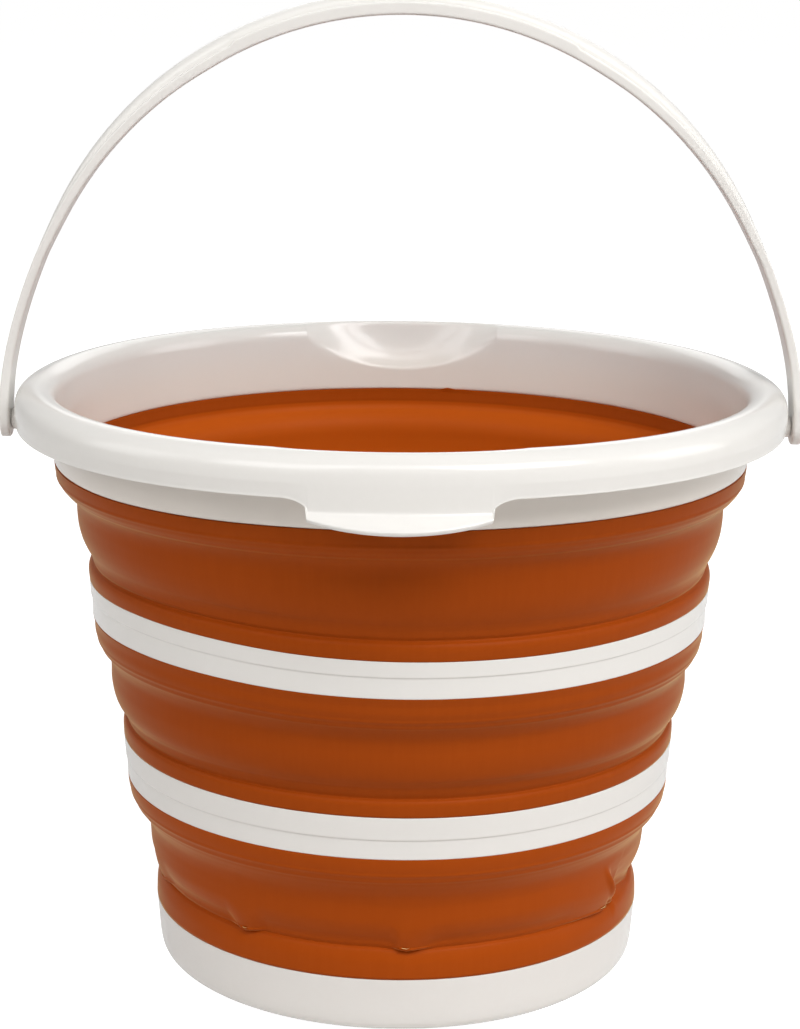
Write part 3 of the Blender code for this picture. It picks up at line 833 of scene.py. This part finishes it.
def rim_section(angle):
    """Closed outline of the rim at an angle from the ear: up the inner wall, over the crown,
    down the skirt to its edge, and back underneath."""
    from_tab = abs(math.pi / 2 - angle) * SKIRT_LOW_RADIUS
    from_ear = angle * SKIRT_LOW_RADIUS
    bottom = SKIRT_BOTTOM - TAB_HANG * tab_hang(from_tab) - EAR_HANG * ear_hang(from_ear)
    away = abs(math.pi / 2 - angle) / SCOOP_HALF
    inner, crown, over = rim_mouth(max(1 - away * away, 0.0))

    reach_share, drop_share = lip_shares(from_tab)
    reach, drop = LIP_REACH * reach_share, LIP_DROP * drop_share
    lip_start = (SKIRT_LOW_RADIUS, bottom + LIP_ABOVE)
    lip_corner = (SKIRT_LOW_RADIUS + reach * LIP_BEND_REACH,
                  bottom + LIP_BEND_ABOVE - drop * LIP_BEND_DROP)
    lip_end = (SKIRT_LOW_RADIUS + reach, bottom - drop)
    skirt = straight((SKIRT_RADIUS, SKIRT_TOP), lip_start, SKIRT_STEPS)
    lip = bend(lip_start, lip_corner, lip_end, LIP_STEPS, last=True)
    dimple = DIMPLE_DEPTH * math.exp(-(from_tab / DIMPLE_HALF) ** 2)
    along = np.linspace(0.0, 1.0, len(lip))
    lip[:, 1] -= dimple * np.exp(-((along - DIMPLE_PLACE) / DIMPLE_WIDTH) ** 2)

    top = np.vstack([inner, crown, over, skirt, lip])
    thickness = np.concatenate([
        np.full(len(inner), WALL), np.linspace(WALL, SHELL, len(crown)),
        np.full(len(over) + len(skirt), SHELL),
        np.linspace(SHELL, SHELL + LIP_THICKER * reach_share, len(lip))])
    under = offset(top, thickness)
    under[0] = (SEAM_RADIUS, RIM_BOTTOM)
    edge_line = straight(top[-1], under[-1], EDGE_STEPS)[1:]
    seam_line = straight(under[0], top[0], SEAM_STEPS)[1:]
    return eased(np.vstack([top, edge_line, under[::-1], seam_line]), 3)


def rim(material):
    """The rim, from the outlines of one quarter, used forward and mirrored in turn."""
    degrees = [start + (end - start) * k / count
               for start, end, count in RIM_STRETCHES for k in range(count)]
    quarter = np.radians([*degrees, RIM_STRETCHES[-1][1]])
    sections = [rim_section(angle) for angle in quarter]
    steps = range(len(quarter))
    rows = []
    for half_turn in (0.0, math.pi):
        for order, mirrored in ((steps, False), (steps[::-1], True)):
            for k in order[:-1]:
                angle = (math.pi - quarter[k] if mirrored else quarter[k]) + half_turn
                radius, height = sections[k][:, 0], sections[k][:, 1]
                rows.append(np.stack([radius * math.cos(angle), radius * math.sin(angle),
                                      height], axis=1))
    grid = np.array(rows)
    piece = grid_piece("rim_shell", settled(grid), material)
    # Mark the wall below the crown for the painted light of the orange wall shining through it
    wall = 1 - ease(np.hypot(grid[..., 0], grid[..., 1]), *PAINTED_LIGHT_RADII)
    mark(piece, "glow", wall * (1 - ease(grid[..., 2], *PAINTED_LIGHT_HEIGHTS)))
    return piece


# The handle

# The bow is an arc over the mouth. Its legs bend down toward the pivots and are straight just
# above them.
LEG_X = 0.16495
BOW_RADIUS = 0.1565
BOW_CENTRE = PIVOT + 0.0180
BOW_TOP = BOW_CENTRE + BOW_RADIUS
BOW_ARC = math.radians(64)
LEG_STRAIGHT = 0.0028
LEG_STEPS = 56
LEG_END_STEPS = 3

# Degrees from the top of the bow: of its rows, which are closer at the end of the grip, and of
# the rows round a paddle's end
BOW_DEGREES = np.concatenate([np.arange(0, 25.5, 1.5), np.arange(25.5, 28.6, 0.3),
                              np.arange(30.0, 63.9, 1.5), [64.0]])
PADDLE_DEGREES = np.concatenate([np.arange(4.0, 64.0, 4.0), np.arange(64.0, 86.0, 1.5)])

# The grip: its end and how softly it ends, as angles, and how much thicker it is
GRIP = math.radians(26.8)
GRIP_FADE = 0.010
GRIP_THICKER = 0.0011

# The strip and the rib on it taper down the legs: how far below the top of the bow that
# starts and over what height, the strip's thickness and the rib's height before and after it,
# and their half widths
TAPER_BELOW = 0.0240
TAPER_LENGTH = 0.0820
STRIP_THICK = 0.0042
LEG_THICK = 0.0039
RIB_HEIGHT = 0.0048
LEG_RIB = 0.0003
STRIP_HALF = 0.0090
RIB_HALF = 0.0060

# The round-ended paddles: half width, the height above the pivot where they widen and over what
# height, how far their end is below it, and how far out their outer side is
PADDLE_HALF = 0.0084
PADDLE_ABOVE = 0.0108
PADDLE_FADE = 0.0080
PADDLE_BELOW = 0.0077
PADDLE_OUTER = 0.00225

# The rounding of a paddle's end: the share of the way down where it starts, how nearly it is
# a full quarter turn, and what share of the thickness and how much of the outer side it takes
ROUND_START = 0.87
ROUND_FULLNESS = 0.96
ROUND_THINNER = 0.6
ROUND_IN = 0.0012

# The section of the strip: the ledge that it leaves beside the rib, and the rib's least share
# of a narrow strip; how full the rib's dome is, and how far its arc goes down; two points of
# the rib's foot; radius, most share of the half width and points of the outer and inner rounded
# edges; and the points or steps of the dome, the ledge, the side and the inner face
RIB_MARGIN = 0.0018
RIB_SHARE = 0.4
DOME_POWER = 0.85
DOME_ARC = math.pi / 2 * 0.985
RIB_FOOT = (0.00005, 0.0002)
TOP_EDGE = (0.0007, 0.3, 5)
LOW_EDGE = (0.0012, 0.45, 7)
DOME_POINTS = 12
LEDGE_STEPS = 4
SIDE_STEPS = 5
BACK_STEPS = 6

# The snap pegs and the bosses round them, as (x, radius)
ROD_SEGMENTS = 48
PEG = ((0.1550, 0.0030), (0.1552, 0.0037), (0.1556, 0.0038), (0.1566, 0.0038),
       (0.1569, 0.0034), (0.1570, 0.0027), (0.1622, 0.0027), (0.1628, 0.0028),
       (0.1632, 0.0034))
BOSS = ((0.1592, 0.0049), (0.1604, 0.0047), (0.1620, 0.0046), (0.1624, 0.0045),
        (0.1626, 0.0041))


def strip_outline(half_width, thickness, height, outer):
    """Closed outline of the handle: (across, outward), from the outer middle round."""
    rib_half = min(RIB_HALF, max(half_width - RIB_MARGIN, half_width * RIB_SHARE))
    ledge = outer - height
    inner = ledge - thickness
    top, low = (min(radius, half_width * share) for radius, share, _ in (TOP_EDGE, LOW_EDGE))
    top_turn, low_turn = (np.linspace(0.0, math.pi / 2, edge[2])
                          for edge in (TOP_EDGE, LOW_EDGE))
    half = [(rib_half * math.sin(a), ledge + height * math.cos(a) ** DOME_POWER)
            for a in np.linspace(0.0, DOME_ARC, DOME_POINTS)]
    half.append((rib_half + RIB_FOOT[0], ledge))
    half += straight((rib_half + RIB_FOOT[1], ledge), (half_width - top, ledge),
                     LEDGE_STEPS).tolist()
    half += [(half_width - top + top * math.sin(a), ledge - top + top * math.cos(a))
             for a in top_turn]
    half += straight((half_width, ledge - top), (half_width, inner + low),
                     SIDE_STEPS)[1:].tolist()
    half += [(half_width - low + low * math.cos(a), inner + low - low * math.sin(a))
             for a in low_turn]
    half += straight((half_width - low, inner), (0.0, inner), BACK_STEPS,
                     last=True)[1:].tolist()
    half = np.array(half)
    mirrored = half[1:-1][::-1] * (-1, 1)
    return np.vstack([half, mirrored])


def handle_stations():
    """Half of the bow: (x, z, outward direction, angle from the top)."""
    stations = []
    for angle in np.radians(BOW_DEGREES):
        outward = (math.sin(angle), math.cos(angle))
        stations.append((BOW_RADIUS * outward[0], BOW_CENTRE + BOW_RADIUS * outward[1], outward,
                         angle))
    start = np.array(stations[-1][:2])
    knee = (LEG_X, start[1] - (LEG_X - start[0]) * math.tan(BOW_ARC))
    end = (LEG_X, PIVOT + LEG_STRAIGHT)
    line = np.vstack([bend(start, knee, end, LEG_STEPS, last=True),
                      straight(end, (LEG_X, PIVOT), LEG_END_STEPS, last=True)[1:]])
    for point, (dx, dz) in zip(line[1:], directions(line)[1:]):
        stations.append((point[0], point[1], (-dz, dx), BOW_ARC))
    return stations


def handle_row(x, z, outward, section):
    """The outline of the strip placed at a station of the handle."""
    across, out = section[:, 0], section[:, 1]
    return np.stack([x + outward[0] * out, across, z + outward[1] * out], axis=1)


def handle_half():
    """Rows of the handle from the top of the bow to the end of the right paddle."""
    rows = []
    for x, z, outward, angle in handle_stations():
        grip = 1 - float(ease(angle, GRIP - GRIP_FADE, GRIP + GRIP_FADE))
        leg = min(max((BOW_TOP - z - TAPER_BELOW) / TAPER_LENGTH, 0.0), 1.0)
        thickness = STRIP_THICK + (LEG_THICK - STRIP_THICK) * leg
        height = RIB_HEIGHT + (LEG_RIB - RIB_HEIGHT) * leg - GRIP_THICKER * grip
        narrow = float(ease(PIVOT + PADDLE_ABOVE - z, 0.0, PADDLE_FADE))
        half_width = STRIP_HALF + (PADDLE_HALF - STRIP_HALF) * narrow
        section = strip_outline(half_width, thickness + GRIP_THICKER * grip, height,
                                thickness / 2 + LEG_RIB * leg)
        rows.append(handle_row(x, z, outward, section))
    for angle in np.radians(PADDLE_DEGREES):
        late = max((math.sin(angle) - ROUND_START) / (1 - ROUND_START), 0.0)
        thin = 1 - math.sqrt(1 - ROUND_FULLNESS * late * late)
        section = strip_outline(PADDLE_HALF * math.cos(angle),
                                LEG_THICK * (1 - ROUND_THINNER * thin), LEG_RIB,
                                PADDLE_OUTER - ROUND_IN * thin)
        z = PIVOT - PADDLE_BELOW * math.sin(angle)
        rows.append(handle_row(LEG_X, z, (1.0, 0.0), section))
    return np.array(rows)


def handle(material):
    """The whole bow, from one half and its mirror image."""
    right = handle_half()
    left = right * (-1, 1, 1)
    return grid_piece("handle_bow", np.concatenate([left[:0:-1], right]), material, capped=True)


def rods(name, stations, material):
    """Two round pieces along X at the pivot, one at each side, from (x, radius) stations."""
    turn = np.linspace(0.0, math.tau, ROD_SEGMENTS, endpoint=False)
    pieces = []
    for end, side in (("left", -1), ("right", 1)):
        rows = [np.stack([np.full(ROD_SEGMENTS, side * x), radius * np.cos(turn),
                          PIVOT + radius * np.sin(turn)], axis=1) for x, radius in stations]
        pieces.append(grid_piece(f"{name}_{end}", np.array(rows), material, capped=True))
    return pieces


# Stage, light and camera

# Softboxes: name, place, size in metres, watts. All face the middle of the bucket.
LIGHTS = (
    ("key", (1.05, -1.30, 1.85), (1.2, 1.2), 34.5),
    ("fill", (-1.15, -1.35, 1.55), (1.2, 1.2), 13.0),
    ("front", (0.0, -1.35, 2.05), (1.4, 1.0), 10.0),
    ("right", (1.95, -0.10, 0.85), (1.0, 1.2), 9.5),
    ("left", (-1.90, -0.10, 1.00), (1.0, 1.3), 6.0),
    ("back", (0.0, 1.9, 1.3), (1.8, 1.0), 8.0),
)
LIGHT_TARGET = (0.0, 0.0, 0.18)

# The room: the light that it gives, and what glossy surfaces see of it toward the camera's side
# and elsewhere, which change over in this stretch of the Y direction
AMBIENT = 0.11
AMBIENT_COLOUR = (1.0, 0.97, 0.93, 1.0)
ROOM_MIRRORED = (0.30, 0.60)
ROOM_STRETCH = (-0.95, -0.15)
WHITE = (1.0, 1.0, 1.0, 1.0)

# The floor: half its side, and how far it is below the foot; what the camera and what gloss see
# of it besides its shadows, the colour that shows these, and the colour that it throws back
FLOOR_HALF = 14.0
FLOOR_DROP = 0.0002
FLOOR_SHOWN = 0.95
FLOOR_MIRRORED = 0.50
FLOOR_SHADOWED = (0.45, 0.45, 0.45, 1.0)
FLOOR_BOUNCE = (0.78, 0.765, 0.75, 1.0)

# The camera: its focal length and the height of the photo in pixels, the sensor's height in mm,
# its place, and how far it looks down and is rolled in degrees
FOCAL_PIXELS = 2500
PHOTO_HEIGHT = 1029
SENSOR_HEIGHT = 36.0
CAMERA_PLACE = (0.0, -1.027, 0.4359)
CAMERA_DOWN = 13.51
CAMERA_ROLL = 0.62


def seen_as(tree, other, glossy, shown):
    """What glossy rays, and what the camera and rays through glass see in place of another
    shader."""
    path = tree.nodes.new("ShaderNodeLightPath")
    for ray, seen in (("Is Glossy Ray", glossy), ("Is Transmission Ray", shown),
                      ("Is Camera Ray", shown)):
        chosen = tree.nodes.new("ShaderNodeMixShader")
        tree.links.new(path.outputs[ray], chosen.inputs[0])
        tree.links.new(other, chosen.inputs[1])
        tree.links.new(seen, chosen.inputs[2])
        other = chosen.outputs[0]
    return other


def floor_material():
    """A pale floor that the camera and glass see near white and gloss a little darker, with
    the shadows that fall on it."""
    made, tree, shader = new_material("floor_white")
    set_inputs(shader, {"Base Color": FLOOR_BOUNCE, "Roughness": 0.9,
                        "Specular IOR Level": 0.1})
    shadowed = node(tree, "ShaderNodeBsdfDiffuse", Color=FLOOR_SHADOWED)
    lit = []
    for strength in (FLOOR_MIRRORED, FLOOR_SHOWN):
        glow = node(tree, "ShaderNodeEmission", Color=WHITE, Strength=strength)
        added = tree.nodes.new("ShaderNodeAddShader")
        tree.links.new(glow.outputs[0], added.inputs[0])
        tree.links.new(shadowed.outputs[0], added.inputs[1])
        lit.append(added.outputs[0])
    tree.links.new(seen_as(tree, shader.outputs[0], *lit),
                   tree.nodes["Material Output"].inputs[0])
    return made


def area_light(name, place, size, power):
    """A softbox that faces the middle of the bucket."""
    data = bpy.data.lights.new(name, "AREA")
    data.shape = "RECTANGLE"
    data.size, data.size_y = size
    data.energy = power
    made = placed(name, data)
    direction = Vector(LIGHT_TARGET) - Vector(place)
    made.rotation_euler = direction.to_track_quat("-Z", "Y").to_euler()
    made.location = place


def stage():
    """The floor, the room and the lamps."""
    mesh = bpy.data.meshes.new("floor")
    corners = [(x * FLOOR_HALF, y * FLOOR_HALF, 0)
               for x, y in ((-1, -1), (1, -1), (1, 1), (-1, 1))]
    mesh.from_pydata(corners, [], [(0, 1, 2, 3)])
    mesh.materials.append(floor_material())
    floor = placed("floor", mesh)
    floor.location = (0, 0, -FLOOR_DROP)

    world = bpy.data.worlds.new("studio")
    bpy.context.scene.world = world
    world.use_nodes = True
    tree = world.node_tree
    ambient = tree.nodes["Background"]
    set_inputs(ambient, {"Color": AMBIENT_COLOUR, "Strength": AMBIENT})
    shown = node(tree, "ShaderNodeBackground", Color=WHITE, Strength=1.0)
    mirrored = node(tree, "ShaderNodeBackground", Color=WHITE)
    place = tree.nodes.new("ShaderNodeTexCoord")
    split = tree.nodes.new("ShaderNodeSeparateXYZ")
    tree.links.new(place.outputs["Generated"], split.inputs[0])
    room = ranged(tree, split.outputs["Y"], *ROOM_STRETCH, *ROOM_MIRRORED)
    tree.links.new(room, mirrored.inputs["Strength"])
    tree.links.new(seen_as(tree, ambient.outputs[0], mirrored.outputs[0], shown.outputs[0]),
                   tree.nodes["World Output"].inputs[0])
    for light in LIGHTS:
        area_light(*light)


def camera():
    """The camera, fitted to the photo."""
    data = bpy.data.cameras.new("camera")
    data.sensor_fit = "VERTICAL"
    data.sensor_height = SENSOR_HEIGHT
    data.lens = FOCAL_PIXELS * SENSOR_HEIGHT / PHOTO_HEIGHT
    made = placed("camera", data)
    made.matrix_world = (Matrix.Translation(CAMERA_PLACE)
                         @ Matrix.Rotation(math.pi / 2 - math.radians(CAMERA_DOWN), 4, "X")
                         @ Matrix.Rotation(math.radians(CAMERA_ROLL), 4, "Z"))
    bpy.context.scene.camera = made


def rigid(piece, body, replaced):
    """Hand a rigid piece to its body, in place of a node, which is hidden."""
    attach(piece, body)
    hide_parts(replaced)


def build():
    """The whole scene."""
    camera()
    stage()
    white = plastic("white_polypropylene", GLOSSY)
    orange = rubber("orange_elastomer")
    # The lowest wall's rubber is painted lighter, standing for light from below
    low_orange_painted_light = rubber("orange_elastomer_painted_lighter", LOW_WALL_PAINTED_LIGHT)

    rigid(turned("base_shell", base_profile(), white, ring=False), "base", "base_cup")
    lower_ring = ring_profile(LOWER_RING, LOWER_RING_RADII, LOWER_STEP)
    rigid(turned("lower_band_ring", lower_ring, white), "lower_band", "lower_ring")
    upper_ring = ring_profile(UPPER_RING, UPPER_RING_RADII, UPPER_STEP)
    rigid(turned("upper_band_ring", upper_ring, white), "upper_band", "upper_ring")
    rigid(rim(white), "rim", "top_rim")
    rigid(handle(plastic("satin_polypropylene", SATIN)), "handle", "handle")
    for peg in rods("handle_peg", PEG, white):
        rigid(peg, "handle", "handle")
    for boss in rods("rim_boss", BOSS, white):
        rigid(boss, "rim", "top_rim")

    walls = (
        (fold_wall("lower_fold_wall", lower_section, low_orange_painted_light, LOWER_TURN, LOWER_FINE),
         "lower_membrane", "base", "lower_band", BASE_TOP, LOWER_RING[0]),
        (fold_wall("middle_fold_wall", middle_section, orange, OTHER_TURN),
         "middle_membrane", "lower_band", "upper_band", LOWER_RING[1], UPPER_RING[0]),
        (fold_wall("upper_fold_wall", upper_section, orange, OTHER_TURN, UPPER_FINE),
         "upper_membrane", "upper_band", "rim", UPPER_RING[1], RIM_BOTTOM),
    )
    # Each wall is baked into the world frame and the CAD node that it replaces is hidden; the
    # bodies and seam heights listed with it are not used
    for wall, replaced, below, above, low, high in walls:
        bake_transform(wall)
        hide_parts(replaced)


build()
bpy.context.scene.view_settings.view_transform = "Standard"
